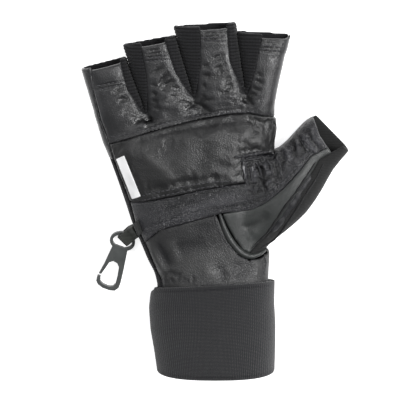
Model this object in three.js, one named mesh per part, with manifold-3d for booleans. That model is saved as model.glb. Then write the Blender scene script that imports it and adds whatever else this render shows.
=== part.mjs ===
// A half-finger weightlifting glove with a wrist wrap, lying palm up on its back.
// Millimetres. +X to the thumb, +Y to the finger tips, +Z up out of the palm, floor at z = 0.
import * as THREE from "three";
import { mergeVertices } from "three/addons/utils/BufferGeometryUtils.js";
import Module from "manifold-3d";

const wasm = await Module();
wasm.setup();

// Driving sizes
const palmWidth = 100; // across the knuckles
const palmLength = 108; // from the wrist crease to the web beside the middle finger
const palmDepth = 26; // height of the palm as it lies
const cuffLength = 56; // from the wrist crease to the cuff's end inside the wrap
const fingerLength = 42; // from the web to the opening of the middle finger
const fingerDepth = 15.5; // height of a finger stall as it lies
const thumbLength = 69; // from the thumb's root to its opening
const thumbWidth = 30; // across the thumb's opening
const thumbDepth = 25; // height of the thumb at its root
const thumbAngle = 45; // degrees from +X
const wall = 1.8; // leather and knit
const padThickness = 1.2; // padding that raises the palm pad
const strapThickness = 0.7; // what the strap stands over the heel
const hemThickness = 0.6; // what a turned hem stands over its finger
const hemWidth = 9; // depth of a turned hem
const hemStep = 2; // how much shorter the fronts of the fingers are than their backs
const sideSeamHeight = 3.6; // the seam between front and back, over the floor
const seamGap = 0.3; // gap between neighbouring pieces
const wrapGap = 0.6; // between the cuff and the elastic round it
const fingerGap = 0.8; // gap between neighbouring finger stalls
const foldWidth = 3; // of a fold in the leather
const foldHeight = 1; // of a fold over the leather beside it
const pipingWidth = 3.2;
const pipingHeight = 1.6;
const wrapHeight = 61; // length of the wrist wrap along the arm
const bandThickness = 1.7; // one layer of the elastic
const patchLength = 20; // the hook-and-loop patch, round the wrist
const patchThickness = 1.4;
const labelThickness = 0.7;
const tabWidth = 7.6;
const tabThickness = 1.3;
const clipThickness = 2.8;
const ringWidth = 15.6; // across the clip's ring
const ringHeight = 12; // along the clip
const wireWidth = 1.9; // of the ring
const hookLength = 29; // from the ring's flat side to the end of the hook
const hookWidth = 15;
const hookMouth = 1.5; // gap between the hook's tip and its tongue
const tabHeight = 14; // of the tab's sewn end over the floor

// Places on the plan: shares of the palm's width and length from the middle of the wrist crease
const onPalm = ([across, along]) => new THREE.Vector2(across * palmWidth, along * palmLength);

// Places on the thumb: shares of its length and half its width from its root, along and outwards
const thumbRoot = onPalm([0.225, 0.324]);
const onThumb = ([along, out]) =>
  new THREE.Vector2(along * thumbLength, (-out * thumbWidth) / 2)
    .rotateAround(new THREE.Vector2(), THREE.MathUtils.degToRad(thumbAngle))
    .add(thumbRoot);

// The two layers of elastic under the cuff lift it off the floor
const layerPitch = bandThickness + seamGap;
const cuffLift = wrapGap + layerPitch + bandThickness;

// Sections of the hand and cuff from the cuff's end to the webs. along is a share of the cuff's
// length below the crease and of the palm's above it; lift is a share of the cuff's, crown of the
// palm's depth.
const handSections = [
  { left: [-0.274, -1.0], right: [0.372, -1.0], lift: 1, crown: 1.08 },
  { left: [-0.31, -0.66], right: [0.376, -0.66], lift: 1, crown: 1.14 },
  { left: [-0.32, -0.34], right: [0.364, -0.34], lift: 1, crown: 1.16 },
  { left: [-0.304, -0.1], right: [0.366, -0.1], lift: 1, crown: 1.12 },
  { left: [-0.324, 0.02], right: [0.368, 0.02], lift: 0.55, crown: 1.1 },
  { left: [-0.364, 0.085], right: [0.374, 0.085], lift: 0.1, crown: 1.08 },
  { left: [-0.408, 0.186], right: [0.376, 0.186], lift: 0, crown: 1.04 },
  { left: [-0.459, 0.3], right: [0.374, 0.3], lift: 0, crown: 1.03 },
  { left: [-0.496, 0.415], right: [0.37, 0.42], lift: 0, crown: 1.02 },
  { left: [-0.54, 0.54], right: [0.37, 0.56], lift: 0, crown: 0.98 },
  { left: [-0.582, 0.65], right: [0.378, 0.69], lift: 0, crown: 0.93 },
  { left: [-0.628, 0.755], right: [0.394, 0.82], lift: 0, crown: 0.83 },
  { left: [-0.658, 0.845], right: [0.4, 0.95], lift: 0, crown: 0.66 },
];

// Lines between the finger stalls, from the little finger's outer side to the index finger's.
// crotch is on the palm; a tip is its offset, a share of the palm's width and of the finger's length.
const fingerLines = [
  { crotch: [-0.673, 0.893], leftTip: null, rightTip: [-0.08, 0.665] },
  { crotch: [-0.36, 0.9], leftTip: [-0.123, 0.81], rightTip: [-0.14, 0.986] },
  { crotch: [-0.077, 0.994], leftTip: [-0.111, 0.87], rightTip: [-0.124, 1.0] },
  { crotch: [0.23, 1.011], leftTip: [-0.065, 1.01], rightTip: [-0.059, 0.885] },
  { crotch: [0.404, 0.993], leftTip: [0.081, 0.89], rightTip: null },
];

// Where the leather of each stall ends, as shares of the stall's half width at its middle and tip,
// from the little finger to the index finger. The last edge lies past the index finger's side.
const fingers = [
  { leftEdge: { middle: -0.72, tip: -0.52 }, rightEdge: { middle: 0.68, tip: 0.8 } },
  { leftEdge: { middle: -0.53, tip: -0.34 }, rightEdge: { middle: 0.64, tip: 0.62 } },
  { leftEdge: { middle: -0.44, tip: -0.18 }, rightEdge: { middle: 0.63, tip: 0.73 } },
  { leftEdge: { middle: -0.39, tip: -0.09 }, rightEdge: { middle: 1.4, tip: 1.4 } },
];

// Stations along a finger stall, as shares of its length: spread is how far it reaches past its
// line, in gaps, and crown is a share of the finger's depth
const fingerStations = [
  { at: -0.3, spread: 9, crown: 1.08 },
  { at: 0, spread: 2.6, crown: 1.06 },
  { at: 0.13, spread: -0.5, crown: 1.04 },
  { at: 0.55, spread: -0.5, crown: 0.98 },
  { at: 1, spread: -0.5, crown: 0.86 },
];

// Sections of the thumb: the places of their inner and outer sides, and the crown as a share
const thumbSections = [
  { left: [0.1, -1.4], right: [-0.1, 1.4], crown: 0.98 },
  { left: [0.45, -1.36], right: [0.15, 1.53], crown: 1.0 },
  { left: [0.64, -1.02], right: [0.41, 1.57], crown: 0.96 },
  { left: [0.81, -1.01], right: [0.65, 1.35], crown: 0.86 },
  { left: [0.95, -1.03], right: [0.84, 1.09], crown: 0.78 },
  { left: [1.055, -0.93], right: [1.05, 0.99], crown: 0.74 },
];

// Seam lines on the plan, from the little finger's side to the thumb's
const sideSeam = [
  [-0.634, 0.88], [-0.582, 0.751], [-0.554, 0.663], [-0.461, 0.432], [-0.432, 0.313], [-0.379, 0.203],
  [-0.32, 0.078], [-0.275, -0.02], [-0.275, -0.6],
].map(onPalm);
const knuckleSeam = [
  [-0.582, 0.751], [-0.461, 0.787], [-0.342, 0.824], [-0.194, 0.86], [-0.047, 0.895], [0.1, 0.917],
  [0.247, 0.924], [0.386, 0.896], [0.42, 0.885],
].map(onPalm);
const strapTopSeam = [
  [-0.461, 0.432], [-0.388, 0.441], [-0.225, 0.473], [-0.047, 0.512], [0.1, 0.534],
  [0.231, 0.549],
].map(onPalm);
const strapBottomSeam = [
  [-0.379, 0.203], [-0.287, 0.288], [-0.047, 0.35], [0.083, 0.384],
].map(onPalm);
const thumbSlit = [
  [0.231, 0.549], [0.214, 0.63], [0.2, 0.672], [0.225, 0.694], [0.3, 0.7], [0.388, 0.69], [0.41, 0.73],
  [0.42, 0.885],
].map(onPalm);
const thumbFrontSeam = [
  [0.02, -0.6], [0.112, -0.27], [0.22, -0.08], [0.4, 0.04], [0.65, 0.01], [0.8, -0.08], [1.1, 0.4],
].map(onThumb);
const thumbBackSeam = [
  [-0.167, 0.99], [0.08, 0.97], [0.3, 0.85], [0.52, 0.63], [0.83, 0.29], [0.93, 0.42], [1.1, 0.65],
].map(onThumb);
const pipingLine = [
  [0.068, 0.375], [0.103, 0.3], [0.149, 0.222], [0.197, 0.157], [0.25, 0.128], [0.31, 0.132],
  [0.37, 0.155], [0.45, 0.2],
].map(onPalm);

// Raised folds where the thumb's leather meets the palm and gathers along the thumb
const folds = [
  { piece: "thumb_strap", width: 0.9, line: [[0.22, 0.66], [0.25, 0.668], [0.32, 0.672], [0.385, 0.662]] },
  { piece: "thumb_strap", width: 0.75, line: [[0.225, 0.632], [0.28, 0.634], [0.33, 0.645]] },
  { piece: "palm_pad", width: 0.9, line: [[0.2, 0.715], [0.27, 0.723], [0.33, 0.722], [0.38, 0.714]] },
  { piece: "palm_pad", width: 1, line: [[0.24, 0.775], [0.29, 0.76], [0.335, 0.745]] },
  { piece: "thumb_strap", width: 0.8, line: [[0.235, 0.62], [0.245, 0.57], [0.25, 0.545]] },
  { piece: "thumb_strap", width: 1, line: [[0.3, 0.6], [0.34, 0.56], [0.37, 0.5]] },
  { piece: "thumb_strap", width: 1, line: [[0.42, 0.69], [0.46, 0.64], [0.48, 0.58]] },
  { piece: "finger_panel", width: 1, line: [[-0.3, 0.93], [-0.26, 0.97], [-0.24, 1.02]] },
  { piece: "finger_panel", width: 1, line: [[0.12, 1.05], [0.16, 1.01], [0.2, 0.98]] },
].map((fold) => ({ ...fold, width: fold.width * foldWidth, line: fold.line.map(onPalm) }));
const thumbFrontHem = [
  [1.05, -1.5], [1.03, -0.95], [0.975, -0.4], [0.95, 0.18], [0.93, 0.8], [0.9, 1.3],
].map(onThumb);

// Solids of closed geometries, and back
function solidOf(geometry) {
  const bare = geometry.clone();
  bare.deleteAttribute("normal");
  bare.deleteAttribute("uv");
  const merged = mergeVertices(bare, 1e-4);
  return new wasm.Manifold(
    new wasm.Mesh({
      numProp: 3,
      vertProperties: merged.attributes.position.array,
      triVerts: new Uint32Array(merged.index.array),
    }),
  );
}

function geometryOf(solid) {
  const mesh = solid.getMesh();
  const geometry = new THREE.BufferGeometry();
  geometry.setAttribute("position", new THREE.BufferAttribute(new Float32Array(mesh.vertProperties), 3));
  geometry.setIndex(new THREE.BufferAttribute(new Uint32Array(mesh.triVerts), 1));
  const faceted = geometry.toNonIndexed();
  faceted.computeVertexNormals();
  return faceted;
}

const joined = (solids) => solids.reduce((sum, solid) => sum.add(solid));

// A closed skin through rings of as many points each, with a fan over each end
function loft(rings) {
  const count = rings[0].length;
  const points = rings.flat();
  const faces = [];
  for (let ring = 0; ring + 1 < rings.length; ring++) {
    for (let k = 0; k < count; k++) {
      const a = ring * count + k;
      const b = ring * count + ((k + 1) % count);
      faces.push(a, b + count, b, a, a + count, b + count);
    }
  }
  for (const [ring, isLast] of [[rings[0], false], [rings.at(-1), true]]) {
    const first = isLast ? (rings.length - 1) * count : 0;
    const middle = points.length;
    const sum = ring.reduce((total, point) => total.add(point), new THREE.Vector3());
    points.push(sum.divideScalar(count));
    for (let k = 0; k < count; k++) {
      const next = first + ((k + 1) % count);
      faces.push(...(isLast ? [middle, next, first + k] : [middle, first + k, next]));
    }
  }
  return new THREE.BufferGeometry().setFromPoints(points).setIndex(faces);
}

// A section of the glove: a flat back on the floor, rounded corners and a crowned front.
// A rib holds two plan points, its height over the floor and its crown; grow moves its skin out.
const shoulderShare = 0.42; // height of the widest place
const cornerShare = 0.16; // width of a lower corner, as a share of the half width
const crownPower = 2.5; // 2 is an ellipse, more is flatter
const flatSteps = 3; // stretches of the flat back

function sectionRing(rib, grow, topSteps) {
  const across = rib.right.clone().sub(rib.left);
  const half = across.length() / 2 + grow;
  across.normalize();
  const middle = rib.left.clone().add(rib.right).divideScalar(2);
  const bottom = grow < 0 ? rib.lift - grow : Math.max(0, rib.lift - grow);
  const top = rib.lift + rib.crown + grow;
  const shoulder = bottom + shoulderShare * (top - bottom);
  const place = (x, z) => new THREE.Vector3(middle.x + across.x * x, middle.y + across.y * x, z);
  const ring = [];
  for (let step = 0; step <= topSteps; step++) {
    const angle = (Math.PI * step) / topSteps;
    const x = Math.sign(Math.cos(angle)) * Math.abs(Math.cos(angle)) ** (2 / crownPower);
    const z = Math.sin(angle) ** (2 / crownPower);
    ring.push(place(half * x, shoulder + (top - shoulder) * z));
  }
  const corner = half * cornerShare;
  const flat = half - corner;
  const drop = shoulder - bottom;
  ring.push(place(-flat - corner * Math.SQRT1_2, shoulder - drop * Math.SQRT1_2));
  for (let step = 0; step <= flatSteps; step++) {
    ring.push(place(flat * ((2 * step) / flatSteps - 1), bottom));
  }
  ring.push(place(flat + corner * Math.SQRT1_2, shoulder - drop * Math.SQRT1_2));
  return ring;
}

// Ribs between the given ones, on smooth curves
function smoothRibs(ribs, steps) {
  const curves = ["left", "right"].map((side) => new THREE.SplineCurve(ribs.map((rib) => rib[side])));
  const heights = new THREE.SplineCurve(ribs.map((rib) => new THREE.Vector2(rib.lift, rib.crown)));
  const count = (ribs.length - 1) * steps;
  return Array.from({ length: count + 1 }, (_, index) => {
    const share = index / count;
    const height = heights.getPoint(share);
    return {
      left: curves[0].getPoint(share),
      right: curves[1].getPoint(share),
      lift: Math.max(0, height.x),
      crown: height.y,
    };
  });
}

// Moves the last rib of a list on by a length, so that an inner form runs out of an opening
function extended(ribs, length, atStart = false) {
  const list = atStart ? [...ribs].reverse() : [...ribs];
  const last = list.at(-1);
  const ahead = last.right.clone().sub(last.left).rotateAround(new THREE.Vector2(), Math.PI / 2);
  ahead.setLength(atStart ? -length : length);
  list.push({ ...last, left: last.left.clone().add(ahead), right: last.right.clone().add(ahead) });
  return atStart ? list.reverse() : list;
}

const ribSolid = (ribs, grow, topSteps) =>
  solidOf(loft(ribs.map((rib) => sectionRing(rib, grow, topSteps))));

// The hand and cuff
const handRibs = handSections.map(({ left, right, lift, crown }) => {
  const place = ([across, along]) =>
    new THREE.Vector2(across * palmWidth, along * (along < 0 ? cuffLength : palmLength));
  return { left: place(left), right: place(right), lift: lift * cuffLift, crown: crown * palmDepth };
});

// The finger stalls
function linePoint(line, y) {
  const crotch = onPalm(line.crotch);
  const tips = [line.leftTip, line.rightTip]
    .filter(Boolean)
    .map(([across, reach]) => new THREE.Vector2(across * palmWidth, reach * fingerLength).add(crotch))
    .sort((a, b) => a.y - b.y);
  const [from, to] = tips.length === 2 && y > tips[0].y ? tips : [crotch, tips[0]];
  return from.x + ((to.x - from.x) * (y - from.y)) / (to.y - from.y);
}

function fingerRib(index, station) {
  const ends = [
    { line: fingerLines[index], tip: fingerLines[index].rightTip, outwards: -1 },
    { line: fingerLines[index + 1], tip: fingerLines[index + 1].leftTip, outwards: 1 },
  ].map(({ line, tip, outwards }) => {
    const y = onPalm(line.crotch).y + station.at * tip[1] * fingerLength;
    const isOuter = !line.leftTip || !line.rightTip;
    const spread = isOuter ? Math.min(0, station.spread) : station.spread;
    return new THREE.Vector2(linePoint(line, y) + outwards * spread * fingerGap, y);
  });
  return { left: ends[0], right: ends[1], lift: 0, crown: station.crown * fingerDepth };
}

function stationAt(at) {
  const next = Math.max(1, fingerStations.findIndex((station) => station.at >= at));
  const [before, after] = [fingerStations[next - 1], fingerStations[next]];
  const share = (at - before.at) / (after.at - before.at);
  return {
    at,
    spread: THREE.MathUtils.lerp(before.spread, after.spread, share),
    crown: THREE.MathUtils.lerp(before.crown, after.crown, share),
  };
}

const fingerRibs = fingers.map((_, index) =>
  fingerStations.map((station) => fingerRib(index, station)),
);

// The thumb
const thumbRibs = smoothRibs(
  thumbSections.map(({ left, right, crown }) => ({
    left: onThumb(left),
    right: onThumb(right),
    lift: 0,
    crown: crown * thumbDepth,
  })),
  2,
);

const handSteps = 14; // stretches of the crown in each section
const stallSteps = 7;
const thumbSteps = 10;
const past = 8; // how far the inner forms and the cuts run out of the openings

// The skin of the glove, moved out by grow
const form = (grow) =>
  joined([
    ribSolid(handRibs, grow, handSteps),
    ...fingerRibs.map((ribs) => ribSolid(ribs, grow, stallSteps)),
    ribSolid(thumbRibs, grow, thumbSteps),
  ]);
const hollow = joined([
  ribSolid(extended(handRibs, past, true), -wall, handSteps),
  ...fingerRibs.map((ribs) => ribSolid(extended(ribs, past), -wall, stallSteps)),
  ribSolid(extended(thumbRibs, past), -wall, thumbSteps),
]);

// Cutters that stand over the whole plan
const tall = 80;
const far = 2 * palmWidth;

function prism(outline, from = -1, to = tall) {
  const geometry = new THREE.ExtrudeGeometry(new THREE.Shape(outline), {
    depth: to - from,
    bevelEnabled: false,
  });
  return solidOf(geometry.translate(0, 0, from));
}

// A thin wall that stands along a line, for the gap of a seam
function ribbon(points, width) {
  const walls = points.slice(1).map((point, index) => {
    const run = point.clone().sub(points[index]);
    const middle = point.clone().add(points[index]).divideScalar(2);
    const box = new THREE.BoxGeometry(run.length() + width, width, 2 * tall);
    return solidOf(box.rotateZ(run.angle()).translate(middle.x, middle.y, 0));
  });
  return joined(walls);
}

const slab = (from, to) =>
  solidOf(new THREE.BoxGeometry(2 * far, 2 * far, to - from).translate(0, 0, (from + to) / 2));
const above = slab(sideSeamHeight + seamGap / 2, tall);
const below = slab(-1, sideSeamHeight - seamGap / 2);

// The edge of the leather on one side of a finger stall, run on past the opening
function leatherEdge(index, side) {
  const { middle, tip } = fingers[index][side];
  const pointAt = (at, share) => {
    const rib = fingerRib(index, stationAt(at));
    return rib.left.clone().add(rib.right).divideScalar(2).lerp(rib.right, share);
  };
  const tipPoint = pointAt(1, tip);
  return [pointAt(0.5, middle), tipPoint, new THREE.Vector2(tipPoint.x, tipPoint.y + past)];
}

const crotches = fingerLines.slice(1, 4).map((line) => onPalm(line.crotch));
const fourchetteOutlines = crotches.map((crotch, index) => [
  crotch,
  ...leatherEdge(index + 1, "leftEdge"),
  ...leatherEdge(index, "rightEdge").reverse(),
]);

// Outlines of the pieces on the plan
const backwards = (line) => [...line].reverse();
const side = -0.9; // past the little finger's side, a share of the palm's width
const notchPoint = sideSeam[2];
const littleSeam = [notchPoint, sideSeam[1], sideSeam[0], ...leatherEdge(0, "leftEdge")];
const fingerOutline = [
  ...littleSeam.slice(1),
  ...fingers.flatMap((_, index) => [
    ...(index ? [crotches[index - 1], ...leatherEdge(index, "leftEdge")] : []),
    ...leatherEdge(index, "rightEdge").reverse(),
  ]),
  ...backwards(knuckleSeam).slice(0, -1),
];
const palmOutline = [
  ...knuckleSeam,
  ...backwards(thumbSlit).slice(1, -1),
  ...backwards(strapTopSeam),
  notchPoint,
];
const strapOutline = [
  sideSeam[4],
  ...strapBottomSeam,
  ...thumbFrontSeam,
  onThumb([1.2, -1.4]),
  ...backwards(thumbSlit).slice(0, -1),
  ...backwards(strapTopSeam),
];
const heelOutline = [
  ...strapBottomSeam,
  ...pipingLine,
  onPalm([0.6, 0.2]),
  onPalm([0.6, -0.6]),
  ...backwards(sideSeam).slice(0, 4),
];
const thumbPanelOutline = [
  ...thumbFrontSeam,
  ...backwards(thumbBackSeam),
  ...backwards(pipingLine.slice(0, 5)),
];
const outerStripOutline = [
  ...thumbBackSeam,
  onThumb([1.2, 2]),
  onThumb([0.3, 2.2]),
  ...backwards(pipingLine.slice(4)),
];
const littleSideOutline = [
  new THREE.Vector2(side * palmWidth, notchPoint.y),
  ...littleSeam,
  onPalm([side, 1.3]),
];
const knitSideOutline = [
  new THREE.Vector2(side * palmWidth, notchPoint.y),
  ...sideSeam.slice(2),
  onPalm([side, -0.6]),
];
const thumbGroundOutline = [
  [0.38, 0.69], [0.38, 0.12], [2, 0.12], [2, 2], [0.6, 1.2],
].map(onPalm);

// Gaps along the seams
const strapBottomGap = ribbon([...strapBottomSeam, ...thumbFrontSeam.slice(0, 2)], seamGap);
const gaps = joined([
  strapBottomGap,
  ...[
    knuckleSeam,
    strapTopSeam,
    thumbFrontSeam,
    thumbSlit,
    thumbBackSeam,
    littleSeam,
    sideSeam,
    littleSideOutline.slice(0, 2),
    ...fourchetteOutlines,
  ].map((line) => ribbon(line, seamGap)),
]);
const groundGap = ribbon([...thumbGroundOutline, thumbGroundOutline[0]], seamGap);
const pipingBand = ribbon(pipingLine, pipingWidth);
const pipingSlot = ribbon(pipingLine, pipingWidth + 2 * seamGap);

// The fronts of the stalls and of the thumb are cut short of their backs
const fingerTrims = fingers.map((_, index) => {
  const cut = fingerRib(index, stationAt(1 - hemStep / fingerLength));
  const ahead = new THREE.Vector2(0, fingerLength);
  return prism([cut.left, cut.right, cut.right.clone().add(ahead), cut.left.clone().add(ahead)]);
});
const thumbTrim = prism([...thumbFrontHem, onThumb([1.3, 1.3]), onThumb([1.3, -1.5])]);

// The turned hems of the finger stalls
const hems = fingers.map((_, index) => {
  const stations = [1 - (hemWidth + hemStep) / fingerLength, 1].map(stationAt);
  return ribSolid(stations.map((station) => fingerRib(index, station)), hemThickness, stallSteps);
});

const skin = (outer) => outer.subtract(hollow);
const shell = skin(form(0));

// A piece's skin with its folds, each a low step with a narrower one on it
const foldSteps = [
  { width: 1, height: 0.5 },
  { width: 0.45, height: 1 },
];
function folded(outer, grow, name) {
  const own = folds.filter((fold) => fold.piece === name);
  const steps = foldSteps.map(({ width, height }) => {
    const bands = joined(own.map((fold) => ribbon(fold.line, width * fold.width)));
    return form(grow + height * foldHeight).intersect(bands);
  });
  return skin(joined([outer, ...steps]));
}

const front = (from, outline) => from.intersect(prism(outline)).intersect(above).subtract(gaps);

// The thumb's outer strip and its ground are one piece, joined through the height of the side seam
const thumbGround = prism(thumbGroundOutline);
const outerStrip = prism(outerStripOutline).intersect(joined([above, thumbGround]));

const gloveSolids = {
  finger_panel: front(folded(joined([form(0), ...hems]), 0, "finger_panel"), fingerOutline).subtract(
    joined(fingerTrims),
  ),
  palm_pad: front(folded(form(padThickness), padThickness, "palm_pad"), palmOutline),
  thumb_strap: front(folded(form(strapThickness), strapThickness, "thumb_strap"), strapOutline).subtract(
    thumbTrim,
  ),
  heel_panel: front(shell, heelOutline).subtract(pipingSlot),
  thumb_panel: front(shell, thumbPanelOutline).subtract(pipingSlot).subtract(thumbTrim),
  thumb_piping: skin(form(pipingHeight))
    .intersect(pipingBand)
    .intersect(above)
    .subtract(prism(strapOutline))
    .subtract(strapBottomGap),
  thumb_back: shell
    .intersect(joined([outerStrip, below.intersect(thumbGround)]))
    .subtract(joined([pipingSlot, ribbon(thumbBackSeam, seamGap)]).intersect(above))
    .subtract(groundGap.intersect(below)),
  back_panel: shell
    .intersect(joined([below.subtract(thumbGround), prism(knitSideOutline)]))
    .subtract(gaps.intersect(above))
    .subtract(groundGap.intersect(below)),
  little_side_strip: front(shell, littleSideOutline),
  fourchette_little_ring: front(shell, fourchetteOutlines[0]),
  fourchette_ring_middle: front(shell, fourchetteOutlines[1]),
  fourchette_middle_index: front(shell, fourchetteOutlines[2]),
};

// A closed wall between two grids of points
function wallBetween(inside, outside) {
  const rows = inside.length;
  const columns = inside[0].length;
  const at = (skinIndex, row, column) => (skinIndex * rows + row) * columns + column;
  const faces = [];
  const quad = (a, b, c, d) => faces.push(a, b, c, a, c, d);
  for (let row = 0; row + 1 < rows; row++) {
    for (let column = 0; column + 1 < columns; column++) {
      quad(at(0, row, column), at(0, row, column + 1), at(0, row + 1, column + 1), at(0, row + 1, column));
      quad(at(1, row, column), at(1, row + 1, column), at(1, row + 1, column + 1), at(1, row, column + 1));
    }
    const last = columns - 1;
    quad(at(0, row, 0), at(0, row + 1, 0), at(1, row + 1, 0), at(1, row, 0));
    quad(at(0, row, last), at(1, row, last), at(1, row + 1, last), at(0, row + 1, last));
  }
  for (let column = 0; column + 1 < columns; column++) {
    const last = rows - 1;
    quad(at(0, 0, column), at(1, 0, column), at(1, 0, column + 1), at(0, 0, column + 1));
    quad(at(0, last, column), at(0, last, column + 1), at(1, last, column + 1), at(1, last, column));
  }
  return new THREE.BufferGeometry().setFromPoints([...inside.flat(), ...outside.flat()]).setIndex(faces);
}

// The wrist wrap: elastic wound nearly twice round the cuff, over its own start. A place round the
// wrist is counted in steps of the cuff's section.
const ringSteps = handSteps + flatSteps + 4;
const bandStart = handSteps + flatSteps + 2; // the back's corner on the thumb's side
const stepOver = bandStart + ringSteps - 1;
const rimBack = -9; // the wrap's upper rim at the back of the hand
const rimRake = 0.25; // how far it slants forward towards the palm, per unit of height
const rimSkew = 0.06; // how far it rises towards the thumb, per unit across
const wrapRows = 5;
const cuffRibs = handRibs.slice(0, 4);

function cuffPoint(y, index, grow) {
  const within = THREE.MathUtils.clamp(y, cuffRibs[0].left.y, cuffRibs.at(-1).left.y);
  const row = Math.max(0, cuffRibs.findIndex((rib) => rib.left.y >= within) - 1);
  const [near, next] = [cuffRibs[row], cuffRibs[row + 1]];
  const share = (within - near.left.y) / (next.left.y - near.left.y);
  const corner = (rib) => sectionRing(rib, grow, handSteps)[index % ringSteps];
  return corner(near).lerp(corner(next), share);
}

function wrapPoint(share, place, grow) {
  const at = (height, across) =>
    THREE.MathUtils.lerp(-wrapHeight, rimBack + rimRake * height + rimSkew * across, share);
  const step = Math.floor(place);
  const y = at(palmDepth / 2, 0);
  const point = cuffPoint(y, step, grow).lerp(cuffPoint(y, step + 1, grow), place - step);
  point.y = at(point.z, point.x);
  return point;
}

function bandBetween(places, inner, thickness) {
  const grid = (extra) =>
    Array.from({ length: wrapRows }, (_, row) =>
      places.map((place) => wrapPoint(row / (wrapRows - 1), place, inner(place) + extra)),
    );
  return wallBetween(grid(0), grid(thickness));
}

// The outer turn ends under the wrist, where the patch runs on to the step between the turns
const flatStep = (2 * (1 - cornerShare) * cuffRibs[0].left.distanceTo(cuffRibs[0].right)) / 2 / flatSteps;
const patchEnd = stepOver + ringSteps - seamGap;
const bandEnd = patchEnd - patchLength / flatStep;
const bandPlaces = Array.from({ length: Math.ceil(bandEnd - bandStart) }, (_, step) => bandStart + step);
bandPlaces.push(bandEnd);
const patchStart = bandEnd + seamGap / flatStep;
const patchPlaces = [patchStart, (patchStart + patchEnd) / 2, patchEnd];

gloveSolids.wrist_wrap = solidOf(
  bandBetween(bandPlaces, (place) => wrapGap + (place > stepOver ? layerPitch : 0), bandThickness),
);
gloveSolids.wrap_closure = solidOf(
  bandBetween(patchPlaces, () => wrapGap + layerPitch, patchThickness),
);

// The blank label, sewn into the side seam and lying on the palm pad
const labelOutline = [[-0.554, 0.659], [-0.496, 0.684], [-0.397, 0.454], [-0.455, 0.429]].map(onPalm);
gloveSolids.side_label = form(padThickness + seamGap + labelThickness)
  .subtract(form(padThickness + seamGap))
  .intersect(prism([...labelOutline].reverse()))
  .intersect(above);

// The clip: a ring and a hook in one moulding, in its own frame round the ring's centre
const ellipse = (width, height) => new THREE.Path().absellipse(0, 0, width / 2, height / 2, 0, 2 * Math.PI);
const plate = (shape) =>
  new THREE.ExtrudeGeometry(shape, { depth: clipThickness, bevelEnabled: false, curveSegments: 10 });
const barTop = -ringHeight * 0.32;
const onHook = ([across, along]) => new THREE.Vector2(across * hookWidth, barTop + along * hookLength);
const hookOutline = [
  [-0.33, 0.03], [0.29, -0.01], [0.347, -0.5], [0.36, -0.78], [0.333, -0.9], [0.207, -0.985], [0.007, -1],
  [-0.3, -0.985], [-0.53, -0.93], [-0.633, -0.86], [-0.64, -0.76], [-0.587, -0.665], [-0.487, -0.444],
  [-0.36, -0.06],
].map(onHook);
const hookHole = [
  [-0.3, -0.393], [-0.16, -0.338], [0.025, -0.367], [0.127, -0.444], [0.163, -0.644], [0.167, -0.83],
  [0.085, -0.905], [-0.07, -0.925], [-0.327, -0.905], [-0.46, -0.86], [-0.5, -0.77], [-0.49, -0.68],
].map(onHook);
const ringShape = new THREE.Shape(ellipse(ringWidth, ringHeight).getPoints(20));
const ringEye = ellipse(ringWidth - 2 * wireWidth, ringHeight - 2 * wireWidth);
ringShape.holes.push(new THREE.Path(ringEye.getPoints(16)));
const mouth = onHook([-0.56, -0.715]);
const mouthCut = new THREE.BoxGeometry(2 * wireWidth, hookMouth, 3 * clipThickness);
const clipFlat = solidOf(plate(ringShape))
  .add(solidOf(plate(new THREE.Shape(hookOutline))))
  .subtract(prism(hookHole))
  .subtract(solidOf(mouthCut.translate(mouth.x, mouth.y, 0)));

// The hook lies on the floor and the ring on the tab's lower layer
const clipPlace = onPalm([-0.522, 0.164]);
const clipTurn = THREE.MathUtils.degToRad(-15);
const ringLift = tabThickness + 2 * seamGap;
const hookEnd = barTop - hookLength;
const clipTilt = Math.asin(ringLift / (ringHeight / 2 - hookEnd));
const clipPose = new THREE.Matrix4()
  .makeTranslation(clipPlace.x, clipPlace.y, 0)
  .multiply(new THREE.Matrix4().makeRotationZ(clipTurn))
  .multiply(new THREE.Matrix4().makeTranslation(0, hookEnd, 0))
  .multiply(new THREE.Matrix4().makeRotationX(clipTilt))
  .multiply(new THREE.Matrix4().makeTranslation(0, -hookEnd, 0));
gloveSolids.snap_clip = solidOf(geometryOf(clipFlat).applyMatrix4(clipPose));

// The tab: a strap from the side seam, through the ring and back under itself
const tabStart = onPalm([-0.406, 0.266]);
const tabRun = clipPlace.distanceTo(tabStart) + 2 * seamGap;
const tabLap = ringWidth / 2 + 4 * seamGap; // how far the tab's end turns back under the ring
const tabAngle = clipPlace.clone().sub(tabStart).angle();
const overRing = ringLift + clipThickness + 2 * seamGap; // underside of the layer over the ring
const bend = overRing / 2; // how far the folded end reaches past the layers' ends
const tabOutline = [
  [-bend, tabHeight + 2 * tabThickness], [0, tabHeight + 2 * tabThickness], [bend, tabHeight],
  [tabRun - tabLap, overRing + 2 * tabThickness], [tabRun - bend, overRing + tabThickness],
  [tabRun - bend / 4, overRing], [tabRun, bend], [tabRun - bend / 4, 2 * seamGap],
  [tabRun - bend, seamGap], [tabRun - tabLap, seamGap], [bend, tabHeight / 2], [-bend, tabHeight / 2],
];
const tabEye = [
  [tabRun - 2 * tabThickness, overRing], [tabRun - tabThickness, bend],
  [tabRun - 2 * tabThickness, tabThickness + seamGap], [tabRun - tabLap, tabThickness + seamGap],
  [tabRun - tabLap, overRing],
];
// The strap's profile stands on its edge beside the palm
function tabSolid(outline, width) {
  const shape = new THREE.Shape(outline.map(([along, height]) => new THREE.Vector2(along, height)));
  const geometry = new THREE.ExtrudeGeometry(shape, { depth: width, bevelEnabled: false });
  geometry.translate(0, 0, -width / 2).rotateX(Math.PI / 2).rotateZ(tabAngle);
  return solidOf(geometry.translate(tabStart.x, tabStart.y, 0));
}
gloveSolids.clip_tab = tabSolid(tabOutline, tabWidth)
  .subtract(tabSolid(tabEye, 2 * tabWidth))
  .subtract(form(strapThickness + seamGap));

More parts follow.
